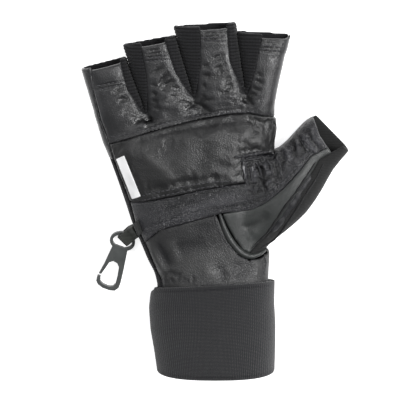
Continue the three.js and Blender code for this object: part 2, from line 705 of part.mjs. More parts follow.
// The model
const leather = { color: 0x2a2a2b, roughness: 0.42, metalness: 0 };
const thumbLeather = { color: 0x26262b, roughness: 0.5, metalness: 0 };
const smooth = { color: 0x353837, roughness: 0.5, metalness: 0 };
const knit = { color: 0x17171a, roughness: 0.95, metalness: 0 };
const elastic = { color: 0x26262a, roughness: 0.9, metalness: 0 };
const plastic = { color: 0x464847, roughness: 0.4, metalness: 0 };
const white = { color: 0xf2f2f2, roughness: 0.7, metalness: 0 };
const finishes = {
  finger_panel: leather,
  palm_pad: leather,
  thumb_strap: thumbLeather,
  heel_panel: leather,
  thumb_panel: smooth,
  thumb_piping: leather,
  thumb_back: knit,
  back_panel: knit,
  little_side_strip: leather,
  fourchette_little_ring: knit,
  fourchette_ring_middle: knit,
  fourchette_middle_index: knit,
  wrist_wrap: elastic,
  wrap_closure: elastic,
  side_label: white,
  snap_clip: plastic,
  clip_tab: elastic,
};

// A cut may leave crumbs beside a piece: the piece is its largest body
const largest = (solid) => solid.decompose().reduce((a, b) => (a.volume() > b.volume() ? a : b));

const glove = new THREE.Group();
for (const [name, solid] of Object.entries(gloveSolids)) {
  const geometry = geometryOf(largest(solid));
  const mesh = new THREE.Mesh(geometry, new THREE.MeshStandardMaterial(finishes[name]));
  mesh.name = name;
  glove.add(mesh);
}

// The origin is on the floor under the middle of the glove's box
const middle = new THREE.Box3().setFromObject(glove).getCenter(new THREE.Vector3());
glove.position.set(-middle.x, -middle.y, 0);

export default glove;
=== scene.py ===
"""Looks of a half-finger weightlifting glove, lying palm up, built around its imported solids.

Metres, +X to the thumb's side, +Y to the finger tips, +Z up out of the palm, floor at z = 0.
"""

import math

import bpy
import numpy as np
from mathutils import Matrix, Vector, noise
from mathutils.bvhtree import BVHTree


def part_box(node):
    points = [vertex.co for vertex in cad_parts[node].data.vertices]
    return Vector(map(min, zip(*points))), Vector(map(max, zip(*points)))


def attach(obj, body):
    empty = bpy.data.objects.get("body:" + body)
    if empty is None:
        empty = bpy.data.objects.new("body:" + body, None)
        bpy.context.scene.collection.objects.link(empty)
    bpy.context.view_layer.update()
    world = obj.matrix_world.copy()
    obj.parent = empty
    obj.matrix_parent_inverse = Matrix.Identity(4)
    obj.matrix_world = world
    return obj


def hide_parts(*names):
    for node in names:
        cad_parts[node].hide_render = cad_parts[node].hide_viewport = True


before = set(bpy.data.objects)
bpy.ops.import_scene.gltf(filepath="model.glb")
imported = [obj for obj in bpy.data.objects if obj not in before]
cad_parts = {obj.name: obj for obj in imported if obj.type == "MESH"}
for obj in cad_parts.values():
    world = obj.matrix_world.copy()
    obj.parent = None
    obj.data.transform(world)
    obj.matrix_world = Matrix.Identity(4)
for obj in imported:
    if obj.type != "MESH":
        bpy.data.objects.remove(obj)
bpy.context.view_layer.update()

# Camera. It hangs over the palm and leans from the plumb line towards the fingers, as the one that
# took the photograph did, so the picture is a plan of the glove with a little of the finger ends.
picture_side = 416  # pixels
picture_scale = 0.0006  # metres to a pixel at the palm
camera_distance = 0.9
camera_lean = math.radians(15)
looked_at = Vector((-0.0046, -0.0036, 0.015))
camera_back = Vector((0, math.sin(camera_lean), math.cos(camera_lean)))
camera_up = Vector((0, math.cos(camera_lean), -math.sin(camera_lean)))
bpy.ops.object.camera_add(
    location=looked_at + camera_distance * camera_back, rotation=(-camera_lean, 0, 0)
)
camera = bpy.context.object
camera.data.lens = camera.data.sensor_width * camera_distance / (picture_side * picture_scale)
bpy.context.scene.camera = camera

# Floor and light. A white light table, which leaves hardly a shadow, under a broad soft lamp on the
# thumb's side, a weaker one beyond the finger tips, and a dim room.
bpy.ops.object.select_all(action="DESELECT")
bpy.ops.mesh.primitive_plane_add(size=6, location=(0, 0, 0))
floor = bpy.context.object
floor.name = "floor"
floor_paint = bpy.data.materials.new("white_table")
floor_paint.use_nodes = True
floor_shader = floor_paint.node_tree.nodes["Principled BSDF"]
floor_shader.inputs["Base Color"].default_value = (0.93, 0.93, 0.93, 1)
floor_shader.inputs["Roughness"].default_value = 0.9
floor_shader.inputs["Specular IOR Level"].default_value = 0.1
floor_shader.inputs["Emission Color"].default_value = (1, 1, 1, 1)
floor_shader.inputs["Emission Strength"].default_value = 0.75
floor.data.materials.append(floor_paint)

for lamp_name, place, side, watts in [
    ("thumb_lamp", (0.75, 0.25, 1.05), 0.5, 16.5),
    ("window_lamp", (-0.45, 0.7, 1.1), 0.8, 5),
]:
    toward = looked_at - Vector(place)
    bpy.ops.object.light_add(
        type="AREA", location=place, rotation=toward.to_track_quat("-Z", "Y").to_euler()
    )
    lamp = bpy.context.object
    lamp.name = lamp_name
    lamp.data.shape = "SQUARE"
    lamp.data.size = side
    lamp.data.energy = watts
room = bpy.data.worlds.new("pale_room")
room.use_nodes = True
room.node_tree.nodes["Background"].inputs["Color"].default_value = (0.97, 0.98, 1, 1)
room.node_tree.nodes["Background"].inputs["Strength"].default_value = 0.3
bpy.context.scene.world = room
bpy.context.scene.view_settings.view_transform = "Standard"

# Palm pad. Soft black sheep leather over thin foam, cut from the knuckles to the hand's middle and
# sewn down all round, so that it swells between its seams.
body = "root"  # nothing on the glove turns or slides


def bare_copy(name, node):
    """A merged copy of a solid, selected and active."""
    bpy.ops.object.select_all(action="DESELECT")
    piece = bpy.data.objects.new(name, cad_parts[node].data.copy())
    bpy.context.collection.objects.link(piece)
    bpy.context.view_layer.objects.active = piece
    piece.select_set(True)
    bpy.ops.object.mode_set(mode="EDIT")
    bpy.ops.mesh.select_all(action="SELECT")
    bpy.ops.mesh.remove_doubles(threshold=0.00001)
    bpy.ops.object.mode_set(mode="OBJECT")
    return piece


def apply_modifier(piece, kind, **settings):
    """Adds a modifier with these settings and applies it."""
    modifier = piece.modifiers.new(kind.lower(), kind)
    for setting, value in settings.items():
        setattr(modifier, setting, value)
    bpy.context.view_layer.objects.active = piece
    bpy.ops.object.modifier_apply(modifier=modifier.name)


def points_of(piece):
    points = np.empty(len(piece.data.vertices) * 3)
    piece.data.vertices.foreach_get("co", points)
    return points.reshape(-1, 3)


def normals_of(piece):
    normals = np.empty(len(piece.data.vertices) * 3)
    piece.data.vertex_normals.foreach_get("vector", normals)
    return normals.reshape(-1, 3)


def move_points(piece, points):
    piece.data.vertices.foreach_set("co", points.ravel())
    piece.data.update()


def flatness(piece, rounds=4):
    """For each point, 1 where the skin is smooth and 0 along the piece's rims."""
    ends = np.empty(len(piece.data.edges) * 2, np.int32)
    piece.data.edges.foreach_get("vertices", ends)
    a, b = ends.reshape(-1, 2).T
    mean = normals_of(piece)
    count = len(mean)
    neighbours = 1 + np.bincount(a, minlength=count) + np.bincount(b, minlength=count)
    for _ in range(rounds):
        total = mean.copy()
        for axis in range(3):
            total[:, axis] += np.bincount(a, mean[b, axis], count)
            total[:, axis] += np.bincount(b, mean[a, axis], count)
        mean = total / neighbours[:, None]
    sharp, smooth = 0.8, 0.95  # lengths of the mean normal at a rim and on the skin
    return np.clip((np.linalg.norm(mean, axis=1) - sharp) / (smooth - sharp), 0, 1)


def point_group(piece, name, weights):
    group = piece.vertex_groups.new(name=name)
    for index, weight in enumerate(weights):
        if weight > 0:
            group.add([index], float(weight), "REPLACE")
    return group.name


def panel(name, node, mesh_size=0.0006, rounds=45, press=0.00028):
    """A copy of a solid with an even fine mesh, its facets smoothed away and its rims rounded, and
    then a little fuller, so that it presses on its neighbours along the seams."""
    piece = bare_copy(name, node)
    apply_modifier(piece, "REMESH", mode="VOXEL", voxel_size=mesh_size)
    skin = point_group(piece, "skin", flatness(piece))
    apply_modifier(piece, "SMOOTH", factor=0.7, iterations=rounds, vertex_group=skin)
    apply_modifier(piece, "SMOOTH", factor=0.5, iterations=4)
    piece.vertex_groups.clear()
    fuller = points_of(piece) + press * normals_of(piece)
    fuller[:, 2] = np.maximum(fuller[:, 2], 0)
    move_points(piece, fuller)
    return piece


def surface_of(pieces):
    """A tree to find places on several pieces with."""
    corners, faces = [], []
    for piece in pieces:
        first = len(corners)
        corners.extend(vertex.co.copy() for vertex in piece.data.vertices)
        faces.extend([first + k for k in polygon.vertices] for polygon in piece.data.polygons)
    return BVHTree.FromPolygons(corners, faces)


solids = surface_of(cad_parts.values())


camera_eye = looked_at + camera_distance * camera_back
seam_gap = 1.0  # pixels of the picture, wider than the gaps of the seams
gap_depth = 0.004
side_height = 0.006  # of the glove's outline over the floor


def seen(x, y, surface=solids):
    """The place on the glove under a pixel of the picture, or the nearest to it. Where the pixel
    lies in the gap of a seam, the place is level with the skin beside the gap."""

    def ray_through(x, y):
        across = (float(x) - picture_side / 2) * picture_scale / camera_distance
        upwards = (picture_side / 2 - float(y)) * picture_scale / camera_distance
        return Vector((across, 0, 0)) + upwards * camera_up - camera_back

    ray = ray_through(x, y)
    hit = surface.ray_cast(camera_eye, ray)[0]
    level = hit.z if hit is not None else 0.0
    for right, down in [(seam_gap, 0), (-seam_gap, 0), (0, seam_gap), (0, -seam_gap)]:
        beside = surface.ray_cast(camera_eye, ray_through(x + right, y + down))[0]
        if beside is not None:
            level = max(level, beside.z)
    if hit is None:
        outline = camera_eye + ray * ((side_height - camera_eye.z) / ray.z)
        return surface.find_nearest(outline)[0]
    if level - hit.z > gap_depth:
        return camera_eye + ray * ((level - camera_eye.z) / ray.z)
    return hit


def smooth_path(corners, step=0.0008):
    """Points about a step apart on a smooth curve through the corners."""
    corners = np.array([list(corner) for corner in corners], float)
    padded = np.vstack([2 * corners[0] - corners[1], corners, 2 * corners[-1] - corners[-2]])
    path = [corners[0]]
    for a, b, c, d in zip(padded, padded[1:], padded[2:], padded[3:]):
        count = max(2, math.ceil(np.linalg.norm(c - b) / step))
        for t in np.arange(1, count + 1) / count:
            bend = (2 * a - 5 * b + 4 * c - d) * t**2 + (3 * b - a - 3 * c + d) * t**3
            path.append(b + ((c - a) * t + bend) / 2)
    return np.array(path)


def crease_relief(piece, creases):
    """How far each point of a piece rises (folds) or sinks (creases). A row's line is in pixels of
    the picture, its width in millimetres, its height in millimetres and negative for a crease."""
    points = points_of(piece)
    relief = np.zeros(len(points))
    for width, height, line in creases:
        width, height = width / 1000, height / 1000
        path = smooth_path([seen(x, y) for x, y in line])
        reach = 2.5 * width
        inside = (points > path.min(0) - reach) & (points < path.max(0) + reach)
        found = np.flatnonzero(inside.all(1))
        if not len(found):
            continue
        apart = np.linalg.norm(points[found, None] - path[None], axis=2)
        share = apart.argmin(1) / (len(path) - 1)
        fading = np.clip(np.sin(math.pi * share), 0.02, 1) ** 0.6
        relief[found] += height * fading * np.exp(-((apart.min(1) / width) ** 2))
    return relief


def crumple_relief(piece, size, height, stretch=(1, 1, 1), octaves=3, seed=0):
    """Low sharp-crested wrinkles of about a size, drawn out by stretch."""
    scale = [1 / (size * s) for s in stretch]
    shift = 17.3 * seed
    relief = [
        noise.ridged_multi_fractal(
            Vector((x * scale[0] + shift, y * scale[1], z * scale[2])), 1, 2.1, octaves, 1, 2
        )
        for x, y, z in points_of(piece)
    ]
    relief = np.array(relief)
    return height * (relief - relief.mean())


def near_line(piece, line, reach):
    """A share for each point that falls from 1 on a line of the picture to 0 beyond its reach."""
    points = points_of(piece)
    path = smooth_path([seen(x, y) for x, y in line], step=0.004)
    apart = np.min([np.linalg.norm(points - point, axis=1) for point in path], axis=0)
    return np.exp(-((apart / reach) ** 2))


def keep_values(piece, name, values):
    """Keeps a value at each point of a piece, which its material reads."""
    kept = piece.data.attributes.new(name, "FLOAT", "POINT")
    kept.data.foreach_set("value", values.astype(np.float32))


def emboss(piece, relief):
    """Moves the outer skin of a piece by its relief, and keeps the relief in millimetres."""
    normals = normals_of(piece)
    outside = np.clip(normals[:, 2] * 2.5 + 0.5, 0, 1)  # 0 on the skin's inner and lower side
    move_points(piece, points_of(piece) + normals * (relief * outside)[:, None])
    keep_values(piece, "relief", relief * outside * 1000)


def swell(piece, pressure, growth, most, frames=20):
    """Blows a sewn piece up between its pinned rims, its skin grown a little so that it wrinkles. No
    point moves farther than the most, in metres."""
    before = points_of(piece)
    pins = point_group(piece, "sewn", 1 - flatness(piece, rounds=3))
    cloth = piece.modifiers.new("cloth", "CLOTH")
    cloth.settings.quality = 6
    cloth.settings.mass = 0.2
    cloth.settings.tension_stiffness = 12
    cloth.settings.compression_stiffness = 12
    cloth.settings.bending_stiffness = 0.05
    cloth.settings.shrink_min = -growth
    cloth.settings.use_pressure = True
    cloth.settings.uniform_pressure_force = pressure
    cloth.settings.vertex_group_mass = pins
    cloth.settings.effector_weights.gravity = 0
    cloth.collision_settings.use_collision = False
    cloth.point_cache.frame_start = 1
    cloth.point_cache.frame_end = frames
    for number in range(1, frames + 1):
        bpy.context.scene.frame_set(number)
    bpy.context.view_layer.objects.active = piece
    bpy.ops.object.modifier_apply(modifier=cloth.name)
    bpy.context.scene.frame_set(1)
    piece.vertex_groups.clear()
    moved = points_of(piece) - before
    length = np.maximum(np.linalg.norm(moved, axis=1), 1e-9)
    move_points(piece, before + moved * (np.minimum(length, most) / length)[:, None])


def dress(piece, material, slot, *nodes):
    """Gives a finished piece its material, its body and the solids that it stands for."""
    piece.data.materials.clear()
    piece.data.materials.append(material)
    bpy.ops.object.select_all(action="DESELECT")
    piece.select_set(True)
    bpy.context.view_layer.objects.active = piece
    bpy.ops.object.shade_smooth()
    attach(piece, body)
    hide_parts(*nodes)


def group_of(name, inputs, outputs):
    """An empty shader node group with number inputs and outputs, and its two ends."""
    group = bpy.data.node_groups.new(name, "ShaderNodeTree")
    for socket, value in inputs.items():
        made = group.interface.new_socket(socket, in_out="INPUT", socket_type="NodeSocketFloat")
        made.default_value = value
    for socket in outputs:
        group.interface.new_socket(socket, in_out="OUTPUT", socket_type="NodeSocketFloat")
    return group, group.nodes.new("NodeGroupInput"), group.nodes.new("NodeGroupOutput")


def wire(tree, kind, *inputs, **settings):
    """A node with its inputs linked or set in order."""
    node = tree.nodes.new("ShaderNode" + kind)
    for setting, value in settings.items():
        setattr(node, setting, value)
    for socket, value in zip(node.inputs, inputs):
        if isinstance(value, bpy.types.NodeSocket):
            tree.links.new(value, socket)
        else:
            socket.default_value = value
    return node


def worked_out(tree, operation, *values, use_clamp=False):
    """What a sum on some values comes to."""
    return wire(tree, "Math", *values, operation=operation, use_clamp=use_clamp).outputs[0]


def mapped(tree, value, low, high, to_low, to_high):
    """A value with its range turned into another."""
    return wire(tree, "MapRange", value, low, high, to_low, to_high).outputs[0]


def noise_share(tree, place, scale, detail=2, noise_type="FBM"):
    """Noise between 0 and 1 over a place, with about so many spots to a metre."""
    node = wire(tree, "TexNoise", place, noise_type=noise_type)
    node.inputs["Scale"].default_value = scale
    node.inputs["Detail"].default_value = detail
    return node.outputs["Fac"]


def two_toned(name, dark, light):
    """A material between two tones, its node tree and shader, and the socket that takes the share."""
    material = bpy.data.materials.new(name)
    material.use_nodes = True
    tree = material.node_tree
    shader = tree.nodes["Principled BSDF"]
    colour = tree.nodes.new("ShaderNodeMix")
    colour.data_type = "RGBA"
    colour.inputs["A"].default_value = (*dark, 1)
    colour.inputs["B"].default_value = (*light, 1)
    tree.links.new(colour.outputs["Result"], shader.inputs["Base Color"])
    return material, tree, shader, colour.inputs["Factor"]


def bumped(tree, shader, height, depth):
    """Gives a shader the bumps of a height, so many metres deep."""
    bumps = tree.nodes.new("ShaderNodeBump")
    bumps.inputs["Distance"].default_value = depth
    tree.links.new(height, bumps.inputs["Height"])
    tree.links.new(bumps.outputs["Normal"], shader.inputs["Normal"])


def leather_grain_group():
    """Pebbled grain of small cells with finer pores, slow changes of tone, and painted highlight on
    folds and painted shade in creases. It puts out a height for bump, a share between the dark and the
    light tone, and a change of roughness."""
    group, start, end = group_of(
        "leather_grain",
        {"Cell Size": 0.0011, "Creasing": 0.5, "Relief Shading": 1.0},
        ["Height", "Tone", "Roughness"],
    )
    pebble_height, pore_depth = 0.22, 0.12
    relief_shade_share, pebble_share = 0.9, 0.9  # of the way to the light tone
    place = wire(group, "TexCoord").outputs["Object"]
    cells = wire(group, "TexVoronoi", place, feature="DISTANCE_TO_EDGE")
    per_metre = worked_out(group, "DIVIDE", 1.0, start.outputs["Cell Size"])
    group.links.new(per_metre, cells.inputs["Scale"])
    pebble = worked_out(group, "MINIMUM", cells.outputs["Distance"], pebble_height)
    pores = noise_share(group, place, 2600, detail=3)
    lines = noise_share(group, place, 240, detail=3, noise_type="RIDGED_MULTIFRACTAL")
    slow = noise_share(group, place, 55, detail=4)
    fine = worked_out(group, "MULTIPLY_ADD", pores, pore_depth, pebble)
    folds = worked_out(group, "MULTIPLY_ADD", lines, start.outputs["Creasing"], fine)
    group.links.new(folds, end.inputs["Height"])
    # Painted light: the kept relief lifts the tone on folds as a painted highlight and drops it in
    # creases as painted shade.
    relief = wire(group, "Attribute", attribute_name="relief").outputs["Fac"]
    relief_shade = worked_out(group, "MULTIPLY", relief, start.outputs["Relief Shading"])
    spread = mapped(group, slow, 0.3, 0.7, 0.15, 0.6)
    tone = worked_out(group, "MULTIPLY_ADD", relief_shade, relief_shade_share, spread)
    cellular = worked_out(group, "MULTIPLY_ADD", pebble, pebble_share, tone, use_clamp=True)
    group.links.new(cellular, end.inputs["Tone"])
    group.links.new(mapped(group, slow, 0.3, 0.7, 0.05, -0.04), end.inputs["Roughness"])
    return group


leather_grain = leather_grain_group()


def leather(name, dark, light, roughness, cell_size, creasing, depth, relief_shading=1.0):
    """A leather material: its two tones, gloss, size of grain and depth of grain in metres, share of
    fine creases, and how much painted highlight its folds and painted shade its creases get."""
    material, tree, shader, tone = two_toned(name, dark, light)
    grain = tree.nodes.new("ShaderNodeGroup")
    grain.name = "grain"
    grain.node_tree = leather_grain
    grain.inputs["Cell Size"].default_value = cell_size
    grain.inputs["Creasing"].default_value = creasing
    grain.inputs["Relief Shading"].default_value = relief_shading
    tree.links.new(grain.outputs["Tone"], tone)
    rough = worked_out(tree, "ADD", grain.outputs["Roughness"], roughness)
    tree.links.new(rough, shader.inputs["Roughness"])
    bumped(tree, shader, grain.outputs["Height"], depth)
    return material


pad_leather = leather(
    "black_pad_leather", (0.005, 0.005, 0.0055), (0.0235, 0.0235, 0.0235), 0.38, 0.0012, 0.35, 0.0003
)
# Seams in the picture, between the pad and the finger leather and along the strap
knuckle_seam = [
    (111, 139.5), (135, 135), (160, 127.5), (190, 119.5), (220, 116), (250, 114), (273, 117.5)
]
strap_top_seam = [(142, 198), (170, 192), (200, 186), (215, 184), (240, 184)]
strap_low_seam = [(144, 232), (170, 223), (200, 215), (222, 211)]


def lowered(line, pixels):
    """A line of the picture moved down it."""
    return [(x, y + pixels) for x, y in line]


pad_creases = [
    # width, height, line
    (1.8, -0.5, [(118, 146), (140, 141), (165, 133), (190, 128), (215, 124), (245, 121), (268, 123)]),
    (1.8, -0.5, [(138, 192), (160, 186), (190, 180), (215, 177), (236, 174)]),
    (1.6, -0.9, [(262, 150), (253, 147), (244, 143), (236, 142)]),
    (1.5, -0.7, [(234, 153), (222, 149), (212, 150)]),
    (1.4, -0.6, [(258, 149), (248, 150), (238, 151)]),
    (4, 0.9, [(262, 143), (250, 139), (238, 136)]),
    (4.5, -0.8, [(240, 166), (226, 167), (212, 161)]),
    (3, -0.7, [(258, 128), (250, 136), (240, 140)]),
    (3.6, 1.0, [(131, 136), (143, 152), (158, 166), (176, 183)]),
    (5, -0.8, [(158, 152), (170, 149), (184, 142)]),
    (5, -0.2, [(128, 152), (138, 168), (150, 182)]),
    (1.0, 0.45, lowered(strap_top_seam, -2.2)),
    (6, -0.9, [(192, 172), (204, 158), (208, 140)]),
    (7, 0.3, [(220, 134), (214, 150), (222, 168)]),
    (1.5, -0.5, [(126, 160), (136, 176), (142, 190)]),
]
palm_padding = panel("palm_padding", "palm_pad", mesh_size=0.0007)
swell(palm_padding, pressure=3, growth=0.02, most=0.0012)
emboss(
    palm_padding,
    crease_relief(palm_padding, pad_creases)
    + crumple_relief(palm_padding, size=0.02, height=0.0003, stretch=(1.6, 1, 1)),
)
dress(palm_padding, pad_leather, "leather", "palm_pad")

# Finger leather. One piece of the same black leather covers the palm side of all four short stalls;
# its edges are turned under at the openings, sewn twice, and it puckers at the webs.
finger_leather_look = leather(
    "black_finger_leather", (0.006, 0.006, 0.0065), (0.034, 0.034, 0.036), 0.33, 0.0012, 0.35, 0.0003
)
finger_creases = [
    (1.6, -0.5, [(112, 136), (135, 132), (160, 124), (190, 116), (220, 112), (250, 111), (270, 113)]),
    (2.6, 0.7, [(186, 104), (193, 110), (202, 111)]),
    (2.6, 0.7, [(136, 121), (144, 125), (153, 125)]),
    (2.6, 0.6, [(236, 101), (243, 105), (252, 103)]),
    (3, -0.5, [(128, 128), (137, 119), (141, 109)]),
    (3, -0.5, [(206, 80), (216, 76), (226, 78)]),
    (1.2, 0.5, [(90, 73), (94, 86), (99, 104), (106, 130)]),
    (1.0, 0.5, lowered(knuckle_seam, -2.2)),
]
# Rows of stitching along a turned hem: its upper row's ends in the picture, and how many rows
hem_rows = [
    ((96, 86), (126, 80.5), 2),
    ((144, 51), (168, 48.5), 4),
    ((200, 33), (228, 33), 3),
    ((260, 41), (284, 42), 4),
]
hem_row_pitch = 3.4  # pixels of the picture
for hem_left, hem_right, row_count in hem_rows:
    for row in range(row_count):
        down = row * hem_row_pitch
        middle = ((hem_left[0] + hem_right[0]) / 2, (hem_left[1] + hem_right[1]) / 2 + down)
        ends = [(x, y + down) for x, y in (hem_left, hem_right)]
        finger_creases.append((0.8, -0.8, [ends[0], middle, ends[1]]))
# Gathers: first and last start, first and last direction in degrees (0 to the right, 90 down in the
# picture), how many, and their length in pixels
gathers = [
    ((147, 117), (147, 117), 15, 165, 8, 17),
    ((197, 101), (197, 101), 12, 168, 9, 19),
    ((243, 97), (243, 97), 15, 155, 7, 16),
    ((124, 84), (140, 112), 145, 160, 7, 16),
    ((166, 62), (188, 96), 140, 160, 10, 19),
    ((226, 52), (236, 90), 145, 160, 9, 19),
    ((256, 72), (248, 94), 30, 20, 4, 11),
    ((150, 84), (152, 106), 20, 40, 4, 9),
    ((201, 66), (201, 94), 10, 30, 4, 9),
]


def gathered(rows, width, height, seed):
    """Crease rows for the gathers of a table, each a little off its neighbours."""
    chance = np.random.default_rng(seed)
    creases = []
    for first, last, turn_from, turn_to, count, length in rows:
        for share in np.linspace(0, 1, count):
            x = first[0] + (last[0] - first[0]) * share
            y = first[1] + (last[1] - first[1]) * share
            turn = math.radians(turn_from + (turn_to - turn_from) * share + chance.normal(0, 6))
            reach = length * chance.uniform(0.6, 1.15)
            bend = chance.uniform(-0.35, 0.35)
            line = []
            for t in (0.1, 0.5, 1):
                way = turn + bend * t
                line.append((x + reach * t * math.cos(way), y + reach * t * math.sin(way)))
            creases.append((width, height * chance.uniform(0.5, 1.1), line))
    return creases


finger_creases += gathered(gathers, width=1.5, height=-0.75, seed=4)
finger_leather = panel("finger_leather", "finger_panel")
web_line = [(147, 118), (170, 105), (197, 102), (220, 98), (243, 98)]
webs = near_line(finger_leather, web_line, reach=0.012)
emboss(
    finger_leather,
    crease_relief(finger_leather, finger_creases)
    + crumple_relief(finger_leather, size=0.007, height=0.00024, stretch=(1.5, 0.8, 1), seed=1)
    * (0.2 + webs),
)
dress(finger_leather, finger_leather_look, "leather", "finger_panel")

# Thumb leather and strap. A softer, slightly bluish piece wraps the inner side of the thumb and runs
# on across the palm as a strap. Beside the thumb it is sewn in loosely and lies in sharp crumples.
thumb_leather_look = leather(
    "crumpled_thumb_leather", (0.005, 0.005, 0.006), (0.036, 0.036, 0.0405), 0.34, 0.001, 1.2, 0.0007
)
strap_creases = [
    (1.3, -0.5, [(142, 204), (170, 199), (200, 194), (230, 189), (250, 186)]),
    (1.3, -0.5, [(143, 228), (170, 219), (200, 211), (230, 207), (250, 203), (273, 190), (300, 163)]),
    (1.6, -1.0, [(243, 162), (252, 160), (264, 160)]),
    (1.5, 0.8, [(243, 163), (245, 172), (247, 183)]),
    (1.7, -1.0, [(248, 164), (249, 174), (250, 188)]),
    (1.5, 0.7, [(252, 164), (254, 174), (255, 186)]),
    (1.8, -1.0, [(257, 164), (261, 174), (261, 188)]),
    (1.7, 0.8, [(262, 164), (268, 172), (267, 184)]),
    (1.9, -1.0, [(270, 158), (276, 168), (275, 181)]),
    (1.6, -0.8, [(280, 151), (284, 161), (288, 168)]),
    (1.6, -0.8, [(290, 141), (294, 152), (299, 158)]),
    (1.6, 0.7, [(284, 149), (289, 158), (293, 164)]),
    (1.4, -0.7, [(253, 178), (266, 179), (277, 172)]),
    (1.4, -0.7, [(260, 193), (272, 184), (284, 173)]),
    (1.2, -0.6, [(246, 190), (254, 194), (262, 190)]),
    (1.0, -0.9, [(304, 125), (311, 139), (320, 152)]),
    (1.2, 0.7, [(301, 128), (307, 141), (315, 154)]),
    (1.0, -0.9, [(297, 133), (302, 145), (309, 157)]),
    (3, -0.6, [(160, 210), (185, 204), (210, 200)]),
    (4, 0.6, [(180, 214), (205, 206), (235, 199)]),
    (0.9, 0.5, lowered(strap_top_seam, 2.2)),
    (0.9, 0.5, lowered(strap_low_seam, -2.2)),
    (1.2, -0.8, [(250, 172), (258, 168), (268, 170)]),
    (1.2, -0.8, [(247, 184), (256, 184), (266, 180)]),
    (1.0, 0.7, [(246, 179), (253, 176), (262, 177)]),
]
thumb_leather = panel("thumb_leather", "thumb_strap", mesh_size=0.0005, rounds=32)
crumpled_line = [(256, 170), (270, 172), (285, 160), (305, 142)]
crumpled = near_line(thumb_leather, crumpled_line, reach=0.013)
emboss(
    thumb_leather,
    crease_relief(thumb_leather, strap_creases)
    + crumple_relief(thumb_leather, size=0.0042, height=0.0006, stretch=(1, 1.2, 1), octaves=4, seed=2)
    * (0.06 + crumpled),
)
keep_values(thumb_leather, "crumpled", crumpled)
smooth_creasing, most_creasing = 0.12, 1.4
look_tree = thumb_leather_look.node_tree
crumpled_here = wire(look_tree, "Attribute", attribute_name="crumpled").outputs["Fac"]
creasing_here = mapped(look_tree, crumpled_here, 0.0, 0.6, smooth_creasing, most_creasing)
look_tree.links.new(creasing_here, look_tree.nodes["grain"].inputs["Creasing"])
dress(thumb_leather, thumb_leather_look, "thumb_leather", "thumb_strap")

# Rolled edges. Where the leathers meet beside the thumb their edges are turned over in soft rolls,
# which lie half sunk on the seams and hide them. Thin near-white rolls on the sharpest folds are a
# painted highlight.
roll_sides = 10
roll_pitch = 0.0009
bridged = 0.0006  # how far a roll looks to both sides for the skin beside a seam's gap
drop = 0.02  # height from which it looks down for the skin


def rolled_edge(radius, line, surface, sink=0.35, unevenness=0.15):
    """A tapered roll, its radius in metres, along a line of the picture on a surface. It sinks in by
    a share of its radius, and swells and thins by another."""
    path = smooth_path([seen(x, y) for x, y in line], roll_pitch)
    places, upward = path.copy(), np.zeros_like(path)
    for index, point in enumerate(path):
        best = None
        for across, along in [(0, 0), (1, 0), (-1, 0), (0, 1), (0, -1)]:
            over = Vector(point) + Vector((across * bridged, along * bridged, drop))
            place, normal, *_ = surface.ray_cast(over, Vector((0, 0, -1)))
            if place is not None and (best is None or place.z > best[0].z):
                best = (place, normal)
        if best is None:
            best = surface.find_nearest(Vector(point))[:2]
        places[index, 2] = best[0].z
        upward[index] = best[1] if best[1].z > 0 else -best[1]
    even = np.array([0.25, 0.5, 0.25])
    for values in (places, upward):
        for _ in range(3):
            for axis in range(3):
                ends = np.concatenate([values[:1, axis], values[:, axis], values[-1:, axis]])
                values[:, axis] = np.convolve(ends, even, "valid")
    upward /= np.linalg.norm(upward, axis=1)[:, None]
    along = np.gradient(places, axis=0)
    sideways = np.cross(upward, along)
    sideways /= np.linalg.norm(sideways, axis=1)[:, None]
    bpy.ops.object.select_all(action="DESELECT")
    bpy.ops.mesh.primitive_uv_sphere_add(segments=roll_sides, ring_count=len(path), radius=1)
    roll = bpy.context.object
    shape = points_of(roll)
    share = np.arccos(np.clip(shape[:, 2], -1, 1)) / math.pi
    station = share * (len(path) - 1)
    fullness = np.clip(np.sin(math.pi * share), 0, 1) ** 0.4
    quick, slow = 0.9, 0.37  # waves of the swelling, in radians for each step along the roll
    waves = 1 + unevenness * (np.sin(station * quick) + np.sin(station * slow + 1))
    size = radius * fullness * waves
    turn = np.arctan2(shape[:, 1], shape[:, 0])

    def on_path(values):
        steps = np.arange(len(path))
        return np.stack([np.interp(station, steps, values[:, axis]) for axis in range(3)], 1)

    outward = on_path(sideways) * np.cos(turn)[:, None] + on_path(upward) * np.sin(turn)[:, None]
    centre = on_path(places) - on_path(upward) * radius * sink
    move_points(roll, centre + outward * size[:, None])
    return roll


def one_piece(name, parts, material):
    """Joins parts into one smooth piece with a material, its faces outwards."""
    bpy.ops.object.select_all(action="DESELECT")
    for part in parts:
        part.select_set(True)
    bpy.context.view_layer.objects.active = parts[0]
    bpy.ops.object.join()
    piece = bpy.context.object
    piece.name = name
    bpy.ops.object.mode_set(mode="EDIT")
    bpy.ops.mesh.select_all(action="SELECT")
    bpy.ops.mesh.normals_make_consistent(inside=False)
    bpy.ops.object.mode_set(mode="OBJECT")
    bpy.ops.object.transform_apply(location=True, rotation=True, scale=True)
    piece.data.materials.append(material)
    bpy.ops.object.shade_smooth()
    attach(piece, body)
    return piece


def rolls(name, rows, surface, material, slot, **shape):
    """One piece of the rolls of a table."""
    parts = [rolled_edge(radius, line, surface, **shape) for radius, line in rows]
    return one_piece(name, parts, material)


crotch_rolls = [
    # radius, line
    (0.0012, [(233, 157), (245, 156), (257, 153.5), (274, 151)]),
    (0.0010, [(239, 161.5), (250, 159.5), (264, 157)]),
    (0.0014, [(243, 155), (243.5, 166), (245, 176), (248, 187)]),
    (0.0008, [(249, 165), (251, 172), (252, 182)]),
    (0.0008, [(255, 161), (260, 170), (262, 180)]),
    (0.0008, [(265, 158), (271, 166), (272, 176)]),
    (0.0007, [(275, 155), (279, 163), (281, 170)]),
]
folded = surface_of([palm_padding, thumb_leather])
rolls("crotch_folds", crotch_rolls, folded, thumb_leather_look, "thumb_leather")
